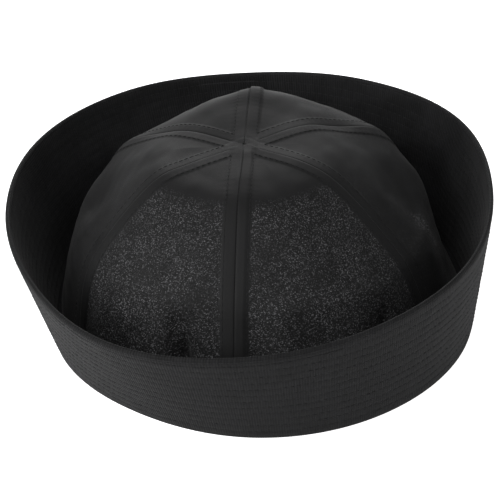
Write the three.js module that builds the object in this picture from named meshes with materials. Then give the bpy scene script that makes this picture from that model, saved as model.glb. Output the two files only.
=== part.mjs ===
// Sailor cap: a soft crown of six panels that stands inside a stiff brim, turned up all round.
// Millimetres, +Z up. The cap stands on the brim's flat foot at z = 0 with its front towards -Y, and
// the origin lies under the middle of the rim's outline. Azimuths are in degrees from +X, towards +Y.
import * as THREE from 'three';

// Head opening, inside the seam allowance at the foot of the crown
const headWidth = 178;
const headLength = 190;

// Cloth and clearances
const crownCloth = 1.2;
const seamLayer = 0.6;
const seamWidth = 12;
const seamStep = 1.4;
const clearance = 0.3;

// Crown
const crownHeight = 82;
const apexHeight = 80;
const apexLeft = 5;
const apexBack = 1;
const panelPuff = 2.6;
const puffReach = 16;
const dentDepth = 6;

// Brim
const brimHeight = 54;
const brimFlareWidth = 12;
const brimFlareLength = 13.5;
const rimLeft = 4.1;
const rimLift = 4.8;
const brimThickness = 2.4;
const rimThickness = 3;
const rimBand = 4;
const trough = 2.5;
const footThickness = 1.4;
const foldRadius = 1.5;
const allowanceHeight = 7;
const allowanceThickness = 1;

// How finely the cloth is divided
const crownRows = 20;
const panelColumns = 8;
const brimSteps = 72;
const wallRows = 6;
const foldTurns = [0, 30, 60];
const rimTurns = [0, 45, 90, 135, 180];

// The six seams of the crown. The heights at three shares of the reach are shares of the crown's
// height, and the reaches at two shares of the height are shares of the reach at the foot.
const crestReachShare = 0.3;
const browReachShare = 0.5;
const shoulderReachShare = 0.75;
const flankHeightShare = 0.5;
const hipHeightShare = 0.15;
const hipAlongShare = 5 / 6;
const seams = [
  { name: 'back right', azimuth: 35, crest: 0.97, brow: 0.885, shoulder: 0.76, flank: 0.875, hip: 0.96 },
  { name: 'back', azimuth: 89, crest: 1.0, brow: 0.98, shoulder: 0.735, flank: 0.88, hip: 0.965 },
  { name: 'back left', azimuth: 145, crest: 0.95, brow: 0.87, shoulder: 0.715, flank: 0.85, hip: 0.97 },
  { name: 'front left', azimuth: 208, crest: 0.975, brow: 0.94, shoulder: 0.725, flank: 0.895, hip: 0.96 },
  { name: 'front', azimuth: 263, crest: 0.985, brow: 0.93, shoulder: 0.69, flank: 0.855, hip: 0.965 },
  { name: 'front right', azimuth: 327, crest: 0.985, brow: 0.9, shoulder: 0.635, flank: 0.84, hip: 0.96 },
];

// The middle of each panel between one seam and the next, in the same shares, and how much the cloth
// puffs out beside its seams, as a share of panelPuff.
const panels = [
  { from: 'back right', to: 'back', puff: 0.6,
    crest: 0.98, brow: 0.95, shoulder: 0.74, flank: 0.895, hip: 0.965 },
  { from: 'back', to: 'back left', puff: 0.6,
    crest: 0.975, brow: 0.92, shoulder: 0.69, flank: 0.86, hip: 0.97 },
  { from: 'back left', to: 'front left', puff: 0.3,
    crest: 0.955, brow: 0.9, shoulder: 0.65, flank: 0.86, hip: 0.96 },
  { from: 'front left', to: 'front', puff: 1,
    crest: 0.98, brow: 0.935, shoulder: 0.72, flank: 0.865, hip: 0.96 },
  { from: 'front', to: 'front right', puff: 1,
    crest: 0.985, brow: 0.92, shoulder: 0.665, flank: 0.845, hip: 0.965 },
  { from: 'front right', to: 'back right', puff: 0.4,
    crest: 0.97, brow: 0.885, shoulder: 0.64, flank: 0.865, hip: 0.94 },
];

// Where along the profile the puff comes in and dies out, as shares from the apex to the foot
const puffStarts = [0.42, 0.62];
const puffEnds = [0.88, 1];

// Near the apex a seam's strip and its edge take at most these shares of the panel's width
const stripShare = 0.3;
const stripEndShare = 0.38;

// Dents and folds in the crown: place across the panel and along its profile from the apex to the
// foot, half widths in the same shares, and depth as a share of dentDepth.
const dents = [
  { panel: 3, across: 0.74, along: 0.77, wide: 0.06, tall: 0.1, depth: 1 },
  { panel: 4, across: 0.7, along: 0.77, wide: 0.07, tall: 0.07, depth: 0.6 },
  { panel: 2, across: 0.55, along: 0.5, wide: 0.16, tall: 0.12, depth: 0.2 },
  { panel: 5, across: 0.45, along: 0.5, wide: 0.18, tall: 0.1, depth: 0.35 },
];

// The brim every 30 degrees: its reach at the base and at the rim as shares of the oval there, and
// the rim's lift as a share of rimLift.
const brimRows = [
  { azimuth: 0, base: 0.995, rim: 0.99, lift: 0.95 },
  { azimuth: 30, base: 0.995, rim: 1.02, lift: 1.0 },
  { azimuth: 60, base: 0.995, rim: 0.995, lift: 0.4 },
  { azimuth: 90, base: 0.995, rim: 0.965, lift: -0.15 },
  { azimuth: 120, base: 0.985, rim: 0.99, lift: -0.2 },
  { azimuth: 150, base: 0.965, rim: 1.0, lift: -0.2 },
  { azimuth: 180, base: 0.955, rim: 0.98, lift: -0.4 },
  { azimuth: 210, base: 0.985, rim: 0.98, lift: -0.75 },
  { azimuth: 240, base: 0.97, rim: 1.02, lift: -0.9 },
  { azimuth: 270, base: 0.99, rim: 0.995, lift: -0.45 },
  { azimuth: 300, base: 1.005, rim: 0.98, lift: 0.1 },
  { azimuth: 330, base: 1.015, rim: 0.99, lift: 0.45 },
];

const clothBlack = new THREE.MeshStandardMaterial({ color: 0x1b1b1d, roughness: 0.86, metalness: 0 });
const brimBlack = new THREE.MeshStandardMaterial({ color: 0x222224, roughness: 0.9, metalness: 0 });

// What lies between the head opening and the brim's wall at the foot, from inside to outside
const crownInset = allowanceThickness + clearance + seamLayer + crownCloth;
const wallInset = crownInset + trough;
const crownFoot = footThickness + clearance;

const radians = (degrees) => THREE.MathUtils.degToRad(degrees);

function ovalReach(halfWidth, halfLength, azimuth) {
  const angle = radians(azimuth);
  return (halfWidth * halfLength) / Math.hypot(halfLength * Math.cos(angle), halfWidth * Math.sin(angle));
}

// A smooth closed curve through one column of the brim's table
function brimShare(column, azimuth) {
  const place = (((azimuth % 360) + 360) % 360) / 360 * brimRows.length;
  const row = Math.floor(place);
  const t = place - row;
  const at = (step) => brimRows[(row + step + brimRows.length) % brimRows.length][column];
  const [a, b, c, d] = [at(-1), at(0), at(1), at(2)];
  return b + 0.5 * t * (c - a + t * (2 * a - 5 * b + 4 * c - d + t * (3 * (b - c) + d - a)));
}

// Reach of the head opening, from which everything at the foot is set off outwards
function headReach(azimuth) {
  return ovalReach(headWidth / 2, headLength / 2, azimuth) * brimShare('base', azimuth);
}

function rimPoint(azimuth) {
  const base = wallInset + brimThickness;
  const halfWidth = headWidth / 2 + base + brimFlareWidth;
  const halfLength = headLength / 2 + base + brimFlareLength;
  const reach = ovalReach(halfWidth, halfLength, azimuth) * brimShare('rim', azimuth);
  const angle = radians(azimuth);
  const height = brimHeight + rimLift * brimShare('lift', azimuth);
  return new THREE.Vector3(reach * Math.cos(angle) - rimLeft, reach * Math.sin(angle), height);
}

// Closed solid from a grid of points: rings[i][j], where every ring is closed
function ringSolid(rings) {
  const count = rings[0].length;
  const positions = rings.flat().flatMap((point) => point.toArray());
  const triangles = [];
  rings.forEach((ring, i) => {
    const next = (i + 1) % rings.length;
    for (let j = 0; j < count; j += 1) {
      const [a, b] = [i * count + j, i * count + (j + 1) % count];
      const [c, d] = [next * count + j, next * count + (j + 1) % count];
      triangles.push(a, c, b, b, c, d);
    }
  });
  return toGeometry(positions, triangles);
}

function toGeometry(positions, triangles) {
  const geometry = new THREE.BufferGeometry();
  geometry.setAttribute('position', new THREE.Float32BufferAttribute(positions, 3));
  geometry.setIndex(triangles);
  geometry.computeVertexNormals();
  return geometry;
}

// Brim: foot, wall and seam allowance in one cloth, as a section that is carried round the head
function brimSection(azimuth) {
  const angle = radians(azimuth);
  const outwards = new THREE.Vector3(Math.cos(angle), Math.sin(angle), 0);
  const at = (reach, height) => outwards.clone().multiplyScalar(reach).setZ(height);
  const head = headReach(azimuth);
  const wallOut = head + wallInset + brimThickness;
  const rim = rimPoint(azimuth);
  const foldPoint = at(wallOut, foldRadius);
  const wall = rim.clone().sub(foldPoint);
  const across = new THREE.Vector3(wall.x, wall.y, 0).normalize();
  const along = wall.clone().normalize();
  const inwards = along.clone().cross(new THREE.Vector3(-across.y, across.x, 0)).normalize();
  const bandStart = 1 - rimBand / wall.length();
  const section = [];

  // Allowance, turned up inside the crown and leaning with it
  const top = crownInside(azimuth, allowanceHeight) - clearance;
  section.push(at(top - allowanceThickness, allowanceHeight));
  section.push(at(head, footThickness));
  section.push(at(head + footThickness, 0));

  // Flat foot and the fold into the wall
  for (const turn of foldTurns) {
    const bend = radians(turn);
    section.push(at(wallOut - foldRadius + foldRadius * Math.sin(bend), foldRadius * (1 - Math.cos(bend))));
  }

  // Outside of the wall, the rounded rim and the inside of the wall
  const wallShares = Array.from({ length: wallRows }, (_, k) => (k / (wallRows - 1)) * bandStart);
  for (const share of wallShares) section.push(foldPoint.clone().addScaledVector(wall, share));
  const rimRound = rimThickness / 2;
  const rimMiddle = rim.clone()
    .addScaledVector(inwards, brimThickness / 2)
    .addScaledVector(along, -rimRound);
  for (const turn of rimTurns) {
    const bend = radians(turn);
    section.push(rimMiddle.clone()
      .addScaledVector(inwards, -rimRound * Math.cos(bend))
      .addScaledVector(along, rimRound * Math.sin(bend)));
  }
  for (const share of wallShares.slice(1).reverse()) {
    section.push(foldPoint.clone().addScaledVector(wall, share).addScaledVector(inwards, brimThickness));
  }

  // Inside corner, the top of the foot and the outside of the allowance
  section.push(at(wallOut - brimThickness, footThickness));
  section.push(at(head + allowanceThickness, footThickness));
  section.push(at(top, allowanceHeight));
  return section;
}

// Crown. A panel's point is given by its share of the way across, from one seam to the next, and its
// share of the way along the profile, from the apex down to the foot.
function seamNamed(name) {
  return seams.find((seam) => seam.name === name);
}

function seamSpan(panel) {
  const start = seamNamed(panel.from).azimuth;
  const end = seamNamed(panel.to).azimuth;
  return [start, end > start ? end : end + 360];
}

// Between two seams each share runs on a parabola through its value in the middle of the panel
function panelShare(panel, column, across) {
  const [start, end] = [seamNamed(panel.from)[column], seamNamed(panel.to)[column]];
  const bow = panel[column] - (start + end) / 2;
  return THREE.MathUtils.lerp(start, end, across) + bow * 4 * across * (1 - across);
}

function crownProfile(panel, across) {
  const azimuth = THREE.MathUtils.lerp(...seamSpan(panel), across);
  const foot = headReach(azimuth) + crownInset;
  const oval = ovalReach(headWidth / 2 + crownInset, headLength / 2 + crownInset, azimuth);
  const share = (column) => panelShare(panel, column, across);
  const points = [
    [0, apexHeight],
    [crestReachShare * oval, share('crest') * crownHeight],
    [browReachShare * oval, share('brow') * crownHeight],
    [shoulderReachShare * oval, share('shoulder') * crownHeight],
    [share('flank') * oval, flankHeightShare * crownHeight],
    [share('hip') * (oval + foot) / 2, hipHeightShare * crownHeight],
    [foot, crownFoot],
  ];
  return { azimuth, foot, curve: new THREE.SplineCurve(points.map(([x, y]) => new THREE.Vector2(x, y))) };
}

function crownSkin(panel, across, along) {
  const { azimuth, foot, curve } = crownProfile(panel, across);
  const point = curve.getPoint(along);
  const angle = radians(azimuth);
  const lean = 1 - point.x / foot;
  return new THREE.Vector3(
    point.x * Math.cos(angle) - apexLeft * lean,
    point.x * Math.sin(angle) + apexBack * lean,
    point.y,
  );
}

function crownNormal(panel, nearAcross, nearAlong) {
  const step = 0.004;
  const across = THREE.MathUtils.clamp(nearAcross, 2 * step, 1 - 2 * step);
  const low = Math.max(nearAlong, 12 * step);
  const down = crownSkin(panel, across, Math.min(low + step, 1)).sub(crownSkin(panel, across, low - step));
  const round = crownSkin(panel, across + step, low).sub(crownSkin(panel, across - step, low));
  return down.cross(round).normalize();
}

// Reach of the crown's inside, under its seams' layers, at a height near its foot
function crownInside(azimuth, height) {
  const turned = (span) => ((azimuth - span[0]) % 360 + 360) % 360 / (span[1] - span[0]);
  const panel = panels.find((candidate) => turned(seamSpan(candidate)) <= 1);
  const { curve } = crownProfile(panel, turned(seamSpan(panel)));
  let [above, below] = [hipAlongShare, 1];
  for (let halving = 0; halving < 12; halving += 1) {
    const middle = (above + below) / 2;
    if (curve.getPoint(middle).y > height) above = middle;
    else below = middle;
  }
  const slope = curve.getTangent(above);
  return curve.getPoint(above).x - (crownCloth + seamLayer) / Math.abs(slope.y);
}

const smooth = (value, low, high) => THREE.MathUtils.smoothstep(value, low, high);

// How far the cloth stands out from the even skin: it puffs out beside the lower seams and has dents
function relief(panel, across, along, width) {
  const fromSeam = Math.min(across, 1 - across) * width - seamWidth / 2;
  const puffed = smooth(along, ...puffStarts) * (1 - smooth(along, ...puffEnds));
  const puff = smooth(fromSeam, 0, puffReach) * puffed;
  const dent = dents.filter((each) => panels[each.panel] === panel).reduce((sum, each) => {
    const distance = ((across - each.across) / each.wide) ** 2 + ((along - each.along) / each.tall) ** 2;
    return sum + each.depth * Math.exp(-distance);
  }, 0);
  return panelPuff * panel.puff * puff - dentDepth * dent;
}

// One panel: an outer and an inner skin, closed round its edges. Along both seams a strip is one
// layer thicker, outside and inside, where the cloth is turned under.
function crownPanel(panel) {
  const seamPlanes = seamSpan(panel).map((azimuth, side) => {
    const base = crownSkin(panel, side, 1);
    const towards = new THREE.Vector3(base.x + apexLeft, base.y - apexBack, 0).normalize();
    return new THREE.Vector3(-towards.y, towards.x, 0);
  });
  const positions = [];
  const rows = [];
  const push = (point) => positions.push(...point.toArray()) / 3 - 1;

  // The tip, where the two seam planes with their gap meet
  const middle = new THREE.Vector3().addVectors(seamPlanes[0], seamPlanes[1].clone().negate()).normalize();
  const tip = new THREE.Vector3(-apexLeft, apexBack, apexHeight)
    .addScaledVector(middle, clearance / 2 / seamPlanes[0].dot(middle));
  const tipOuter = push(tip.clone().setZ(apexHeight + seamLayer));
  const tipInner = push(tip.clone().setZ(apexHeight - crownCloth - seamLayer));

  for (let i = 1; i <= crownRows; i += 1) {
    const along = i / crownRows;
    const corner = [0, 0.5, 1].map((across) => crownSkin(panel, across, along));
    const width = corner[0].distanceTo(corner[1]) + corner[1].distanceTo(corner[2]);
    const strip = Math.min(seamWidth / 2, width * stripShare);
    const stripEnd = Math.min(seamWidth / 2 + seamStep, width * stripEndShare);
    const edge = [0, strip / width, stripEnd / width];
    const inner = Array.from({ length: panelColumns - 1 }, (_, k) => (
      THREE.MathUtils.lerp(edge[2], 1 - edge[2], (k + 1) / panelColumns)));
    const acrosses = [...edge, ...inner, ...edge.map((value) => 1 - value).reverse()];
    const last = acrosses.length - 1;
    rows.push(acrosses.map((across, j) => {
      const skin = crownSkin(panel, across, along);
      const normal = crownNormal(panel, across, along);
      const side = { 0: seamPlanes[0], [last]: seamPlanes[1] }[j];
      if (side) normal.addScaledVector(side, -normal.dot(side)).normalize();
      if (i === crownRows) normal.setZ(0).normalize();
      skin.addScaledVector(seamPlanes[0], (1 - across) * clearance / 2);
      skin.addScaledVector(seamPlanes[1], -across * clearance / 2);
      skin.addScaledVector(normal, relief(panel, across, along, width));
      const layer = j < 2 || j > last - 2 ? seamLayer : 0;
      return {
        outer: push(skin.clone().addScaledVector(normal, layer)),
        inner: push(skin.clone().addScaledVector(normal, -crownCloth - layer)),
      };
    }));
  }

  const triangles = [];
  const quad = (a, b, c, d) => triangles.push(a, b, c, c, b, d);
  const last = rows[0].length - 1;
  for (let j = 0; j < last; j += 1) {
    triangles.push(tipOuter, rows[0][j].outer, rows[0][j + 1].outer);
    triangles.push(tipInner, rows[0][j + 1].inner, rows[0][j].inner);
    for (let i = 0; i < rows.length - 1; i += 1) {
      quad(rows[i][j].outer, rows[i + 1][j].outer, rows[i][j + 1].outer, rows[i + 1][j + 1].outer);
      quad(rows[i][j + 1].inner, rows[i + 1][j + 1].inner, rows[i][j].inner, rows[i + 1][j].inner);
    }
    const foot = rows[rows.length - 1];
    quad(foot[j].outer, foot[j].inner, foot[j + 1].outer, foot[j + 1].inner);
  }
  const [start, end] = [rows[0][0], rows[0][last]];
  quad(tipOuter, tipInner, start.outer, start.inner);
  quad(tipInner, tipOuter, end.inner, end.outer);
  for (let i = 0; i < rows.length - 1; i += 1) {
    quad(rows[i][0].inner, rows[i + 1][0].inner, rows[i][0].outer, rows[i + 1][0].outer);
    quad(rows[i][last].outer, rows[i + 1][last].outer, rows[i][last].inner, rows[i + 1][last].inner);
  }
  return toGeometry(positions, triangles);
}

function named(name, geometry, material) {
  const mesh = new THREE.Mesh(geometry, material);
  mesh.name = name;
  return mesh;
}

// Assembly, set so that the origin lies under the middle of the rim's outline
const brimRings = Array.from({ length: brimSteps }, (_, k) => brimSection((k / brimSteps) * 360));
const brim = named('brim', ringSolid(brimRings), brimBlack);
const outline = new THREE.Box3().setFromObject(brim).getCenter(new THREE.Vector3());

const cap = new THREE.Group();
cap.position.set(-outline.x, -outline.y, 0);
cap.add(brim);
panels.forEach((panel, k) => cap.add(named(`crown_panel_${k + 1}`, crownPanel(panel), clothBlack)));

const scene = new THREE.Group();
scene.add(cap);

export default scene;
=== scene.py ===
# %% [markdown]
# # A sailor cap
# A black cloth cap: a soft crown of six panels that stands inside a stiff brim, turned up all round.
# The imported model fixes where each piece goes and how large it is. This script gives the pieces their
# fine shape, their stitches and their cloth.

# %% Load the frame
import math

import bpy
import numpy as np
from mathutils import Matrix, Vector


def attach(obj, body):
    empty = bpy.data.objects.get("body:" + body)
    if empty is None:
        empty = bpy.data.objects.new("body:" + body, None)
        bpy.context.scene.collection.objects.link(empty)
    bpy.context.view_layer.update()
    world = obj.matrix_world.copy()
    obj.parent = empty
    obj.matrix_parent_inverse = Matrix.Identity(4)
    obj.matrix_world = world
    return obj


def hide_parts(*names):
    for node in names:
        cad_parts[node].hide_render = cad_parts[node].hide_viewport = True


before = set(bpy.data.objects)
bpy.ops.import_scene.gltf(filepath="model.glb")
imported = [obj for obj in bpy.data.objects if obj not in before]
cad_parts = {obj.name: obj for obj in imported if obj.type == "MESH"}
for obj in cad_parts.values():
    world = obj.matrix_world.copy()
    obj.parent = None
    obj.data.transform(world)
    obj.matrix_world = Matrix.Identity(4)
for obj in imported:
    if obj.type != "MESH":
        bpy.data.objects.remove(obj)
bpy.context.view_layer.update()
MM = 0.001

# %% [markdown]
# ## The view
# A long lens from a step away keeps the near rim of the brim from looking much larger than the far one.
# A camera can be turned by hand or by a tracking constraint. Here its angle above the floor, its roll
# and its distance are numbers, so the view is the same on each run.

# %% Camera
ELEVATION = math.radians(34.14)
ROLL = math.radians(1.4)
DISTANCE = 1.018
LENS, SENSOR = 164.2, 36.0
AIM = Vector((-0.1, 1.7, 26.1)) * MM


def add_object(name, data):
    made = bpy.data.objects.new(name, data)
    bpy.context.collection.objects.link(made)
    return made


def make_camera():
    data = bpy.data.cameras.new("camera")
    data.lens = LENS
    data.sensor_width = SENSOR
    data.clip_start = 0.05
    data.clip_end = 20.0
    camera = add_object("camera", data)
    back = Vector((0.0, -math.cos(ELEVATION), math.sin(ELEVATION)))
    turn = (-back).to_track_quat("-Z", "Y").to_matrix() @ Matrix.Rotation(-ROLL, 3, "Z")
    camera.matrix_world = Matrix.Translation(AIM + back * DISTANCE) @ turn.to_4x4()
    bpy.context.scene.camera = camera
    print("camera at", [round(value, 3) for value in camera.matrix_world.translation], "lens", LENS, "mm")
    return camera


make_camera()

# %% [markdown]
# ## Shader maths
# The pattern of a cloth takes dozens of Math nodes, slow to wire by hand and hard to read. This class
# wraps one socket and overloads the operators, so that `1 - mask * 0.5` adds its Math nodes by itself.
# One method, `node`, makes every other kind of node, for stitches too.


# %% Sockets as numbers
class Shade:
    """One output of a node, with the usual operators, which add Math nodes."""

    def __init__(self, tree, socket):
        self.tree = tree
        self.socket = socket

    def fill(self, node, inputs):
        """Set a node's inputs, or link them where the value is a Shade."""
        for name, value in dict(inputs).items():
            if isinstance(value, Shade):
                self.tree.links.new(value.socket, node.inputs[name])
            else:
                node.inputs[name].default_value = value

    def node(self, kind, inputs=(), output=0, **settings):
        made = self.tree.nodes.new(kind)
        for name, value in settings.items():
            setattr(made, name, value)
        self.fill(made, inputs)
        return Shade(self.tree, made.outputs[output])

    def maths(self, operation, *values):
        return self.node("ShaderNodeMath", enumerate((self, *values)), operation=operation)

    def __add__(self, other):
        return self.maths("ADD", other)

    __radd__ = __add__

    def __mul__(self, other):
        return self.maths("MULTIPLY", other)

    __rmul__ = __mul__

    def __sub__(self, other):
        return self.maths("SUBTRACT", other)

    def __rsub__(self, other):
        return (self * -1.0) + other

    def wave(self, pitch):
        """A wave from 0 to 1 along this length."""
        return (self * (2 * math.pi / pitch)).maths("SINE") * 0.5 + 0.5

    def clamp(self, low, high):
        """0 below low and 1 above high, with a smooth step between."""
        limits = {"Value": self, "From Min": low, "From Max": high}
        return self.node("ShaderNodeMapRange", limits, interpolation_type="SMOOTHSTEP")

    def part(self, axis):
        return self.node("ShaderNodeSeparateXYZ", {0: self}, output="xyz".index(axis))


# %% [markdown]
# ## A cloth's material
# Both cloths look like black cotton, and differ in how finely they are woven and how they shine.
# A picture of cloth could be wrapped round them, but it would repeat and blur. So each cloth is a
# function that works out colour, roughness and height from the place on the cloth, and one helper gives
# what it returns to a Principled shader. The height goes through a Bump node.

# %% Helpers for cloth
DARK = (0.0, 0.0, 0.0)


def add_material(name, build, *values):
    """A material whose Principled shader takes the inputs that build makes for it."""
    material = bpy.data.materials.new(name)
    material.use_nodes = True
    start = Shade(material.node_tree, None)
    start.fill(material.node_tree.nodes["Principled BSDF"], build(start, *values))
    print("material", name, len(material.node_tree.nodes), "nodes")
    return material


def mix(start, share, low, high, clamp=True):
    """The colour low at share 0 and high at share 1, and past them where clamp is off."""
    inputs = {0: share, 6: (*low, 1.0), 7: (*high, 1.0)}
    return start.node("ShaderNodeMix", inputs, output=2, data_type="RGBA", clamp_factor=clamp)


def matt_cloth(start, strength, colour, roughness, height, specular, sheen):
    """A shader's inputs for cloth: this colour times a strength, and bumps as high as height in mm."""
    return {
        "Base Color": mix(start, strength, DARK, colour, clamp=False),
        "Roughness": roughness,
        "Normal": start.node("ShaderNodeBump", {"Height": height, "Distance": MM, "Strength": 1.0}),
        "Specular IOR Level": specular,
        "Sheen Weight": sheen,
        "Sheen Roughness": 0.4,
    }


def noise(start, place, scale, detail=1.0):
    return start.node("ShaderNodeTexNoise", {"Vector": place, "Scale": scale, "Detail": detail})


# %% [markdown]
# ## The crown's cloth
# The crown is sewn from a fine twill, whose slanting rows are about half a millimetre apart. Glints of its
# yarns are painted into the base colour as painted highlights: bright specks on the panels that face the
# camera, and none on the seams, which are pressed flat.
# The rows are a sine wave. The yarns are cells of a Voronoi texture that is laid along the rows, and
# each cell has its own random value, so a few cells are painted bright and most are dull. Two attributes
# of the mesh say how far each point is from a seam and how much painted glint its panel gets.

# %% Crown twill
TWILL_PITCH, TWILL_HEIGHT = 0.44, 0.03
YARN_LENGTH, YARN_HEIGHT = 0.5, 0.36
# How much the painted glints, bright specks that stand in for highlights, lift the base colour
PAINTED_GLINT = 25.0
CROWN_BLACK = (0.0072, 0.0072, 0.0075)
# The twill's rows lean by an angle with this cosine and sine
SLANT_COS, SLANT_SIN = 0.8, 0.6
# From how far beside a seam's line the painted glints set in, in mm
PAINTED_GLINT_STARTS = (5.4, 6.8)


def crown_twill(start):
    """Fine twill with painted glints, bright specks in its base colour, but none on the pressed strips of
    the seams.
    """
    place = start.node("ShaderNodeUVMap", uv_map="cloth")
    across, along = place.part("x"), place.part("y")
    from_seam = start.node("ShaderNodeAttribute", output=2, attribute_name="from_seam")
    # How much glint is painted on each point, read from an attribute of the mesh
    painted_glint_share = start.node("ShaderNodeAttribute", output=2, attribute_name="painted_glint_share")
    broad = noise(start, place, 0.07, 2.0).clamp(0.35, 0.65)
    row = across * SLANT_COS + along * SLANT_SIN
    drift = along * SLANT_COS - across * SLANT_SIN
    twill = row.wave(TWILL_PITCH)
    cell = {0: row * (1 / TWILL_PITCH), 1: drift * (1 / YARN_LENGTH), 2: 0.0}
    yarn = {"Vector": start.node("ShaderNodeCombineXYZ", cell), "Scale": 1.0, "Randomness": 0.75}
    middle = 1 - start.node("ShaderNodeTexVoronoi", yarn).clamp(0.2, 0.7)
    chance = start.node("ShaderNodeTexVoronoi", yarn, output=1).part("x")
    # Where glints are painted into the colour and the yarns are raised as bumps
    painted_glint_and_bump_mask = from_seam.clamp(*PAINTED_GLINT_STARTS) * painted_glint_share
    # Painted glints: a few bright yarn cells in the base colour, which stand in for highlights
    painted_glint = middle * chance * chance * chance * painted_glint_and_bump_mask * (broad * 0.5 + 0.75)
    # The base colour's tone: twill rows, a broad random tone, and a darker ground under the painted glints
    shade = twill * 0.2 + 0.75 + broad * 0.15 - painted_glint_and_bump_mask * 0.3
    height = twill * TWILL_HEIGHT + (chance - 0.4) * middle * painted_glint_and_bump_mask * YARN_HEIGHT
    return matt_cloth(start, shade + painted_glint * PAINTED_GLINT, CROWN_BLACK, broad * 0.06 + 0.58, height, 0.2, 0.05)


# %% [markdown]
# ## The brim's cloth
# The brim is a thicker, duller cloth with upright ribs about a millimetre apart. The ribs are one sine
# wave round the brim. Two noises make them uneven: one is stretched along the ribs, as thick places in
# a yarn are, and the other is fine and speckles the whole cloth.

# %% Brim twill
RIB_PITCH = 1.05
RIB_HEIGHT, SPECK_HEIGHT, SLUB_HEIGHT = 0.1, 0.12, 0.1
BRIM_BLACK = (0.009, 0.009, 0.0095)
# How fast the slubs change across and along the ribs, per mm
SLUB_ACROSS, SLUB_ALONG = 1.1, 0.16


def brim_twill(start):
    """Thicker, matt cloth with fine upright ribs."""
    place = start.node("ShaderNodeUVMap", uv_map="cloth")
    across, along = place.part("x"), place.part("y")
    broad = noise(start, place, 0.05, 2.0).clamp(0.35, 0.65)
    rib = across.wave(RIB_PITCH)
    long_place = {0: across * SLUB_ACROSS, 1: along * SLUB_ALONG, 2: 0.0}
    slub = noise(start, start.node("ShaderNodeCombineXYZ", long_place), 1.0)
    speck = noise(start, place, 1.5)
    shade = rib * (broad * 0.6 + 0.4) + 0.55 + broad * 0.15 + (slub - 0.5) * 1.0 + (speck - 0.5) * 0.7
    height = rib * RIB_HEIGHT + (speck - 0.5) * SPECK_HEIGHT + (slub - 0.5) * SLUB_HEIGHT
    return matt_cloth(start, shade, BRIM_BLACK, broad * 0.06 + 0.66, height, 0.16, 0.06)


crown_cloth = add_material("crown_cloth", crown_twill)
brim_cloth = add_material("brim_cloth", brim_twill)

# %% [markdown]
# ## The sizes
# A cap is cut to a head: its opening is an oval of 178 by 190 mm, and all else is set off from that.
# The sizes could be read off the frame's solids, but a formula gives a finer skin than they have. So
# the sizes and short tables that made the solids are repeated here, in mm from the opening's middle.

# %% Sizes
HEAD_WIDTH, HEAD_LENGTH = 178.0, 190.0
CROWN_CLOTH, SEAM_LAYER, SEAM_WIDTH = 1.2, 0.6, 12.0
ALLOWANCE, CLEARANCE, TROUGH = 1.0, 0.3, 2.5
CROWN_HEIGHT, APEX_HEIGHT = 82.0, 80.0
APEX_LEFT, APEX_BACK = 5.0, 1.0
BRIM_HEIGHT, FLARE_WIDTH, FLARE_LENGTH = 54.0, 12.0, 13.5
RIM_LEFT, RIM_LIFT = 4.1, 4.8
BRIM_CLOTH, FOOT, FOLD, ALLOWANCE_HEIGHT = 2.4, 1.4, 1.5, 7.0

CROWN_INSET = ALLOWANCE + CLEARANCE + SEAM_LAYER + CROWN_CLOTH
WALL_INSET = CROWN_INSET + TROUGH
CROWN_FOOT = FOOT + CLEARANCE

print("from the head opening to the wall", WALL_INSET, "mm, crown", CROWN_HEIGHT, "mm high")

# %% [markdown]
# ## Tables of the crown and the brim
# Soft cloth never stands quite evenly, and each seam and panel of this cap sags a little differently.
# Sculpting would show that too, but numbers are easier to mend. Each seam and the middle of each panel
# have five shares: three heights near the top and two reaches down the side. The brim has a row of
# three every 30 degrees.

# %% Tables
# Columns: azimuth in degrees, then crest, brow and shoulder heights as shares of the crown's height
# at three shares of the reach, and flank and hip reaches at two shares of the height.
CREST_AT, BROW_AT, SHOULDER_AT, FLANK_AT, HIP_AT = 0.3, 0.5, 0.75, 0.5, 0.15
SEAMS = {
    "back right": (35, 0.97, 0.885, 0.76, 0.875, 0.96),
    "back": (89, 1.0, 0.98, 0.735, 0.88, 0.965),
    "back left": (145, 0.95, 0.87, 0.715, 0.85, 0.97),
    "front left": (208, 0.975, 0.94, 0.725, 0.895, 0.96),
    "front": (263, 0.985, 0.93, 0.69, 0.855, 0.965),
    "front right": (327, 0.985, 0.9, 0.635, 0.84, 0.96),
}
# The middle of each panel after its seam: crest, brow, shoulder, flank, hip and how much it puffs
PANELS = {
    "back right": (0.98, 0.95, 0.74, 0.895, 0.965, 0.6),
    "back": (0.975, 0.92, 0.69, 0.86, 0.97, 0.6),
    "back left": (0.955, 0.9, 0.65, 0.86, 0.96, 0.3),
    "front left": (0.98, 0.935, 0.72, 0.865, 0.96, 1.0),
    "front": (0.985, 0.92, 0.665, 0.845, 0.965, 1.0),
    "front right": (0.97, 0.885, 0.64, 0.865, 0.94, 0.4),
}
# The brim every 30 degrees: base reach and rim reach as shares of the oval, and the rim's lift
BRIM_ROWS = np.array([
    (0.995, 0.99, 0.95),
    (0.995, 1.02, 1.0),
    (0.995, 0.995, 0.4),
    (0.995, 0.965, -0.15),
    (0.985, 0.99, -0.2),
    (0.965, 1.0, -0.2),
    (0.955, 0.98, -0.4),
    (0.985, 0.98, -0.75),
    (0.97, 1.02, -0.9),
    (0.99, 0.995, -0.45),
    (1.005, 0.98, 0.1),
    (1.015, 0.99, 0.45),
])


# %% [markdown]
# ## Curves through the tables
# Between the rows of a table the cloth runs smoothly, so the values are joined by a curve that passes
# through each of them. Small uneven waves in the cloth are a sum of a few sine waves in random, seeded
# directions. A noise texture in a modifier would do as well, but this one is worked out on plain
# arrays of points, so the stitches can follow the same waves.

# %% Ovals and waves
def oval(half_width, half_length, degrees):
    angle = np.radians(degrees)
    return half_width * half_length / np.hypot(half_length * np.cos(angle), half_width * np.sin(angle))


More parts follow.
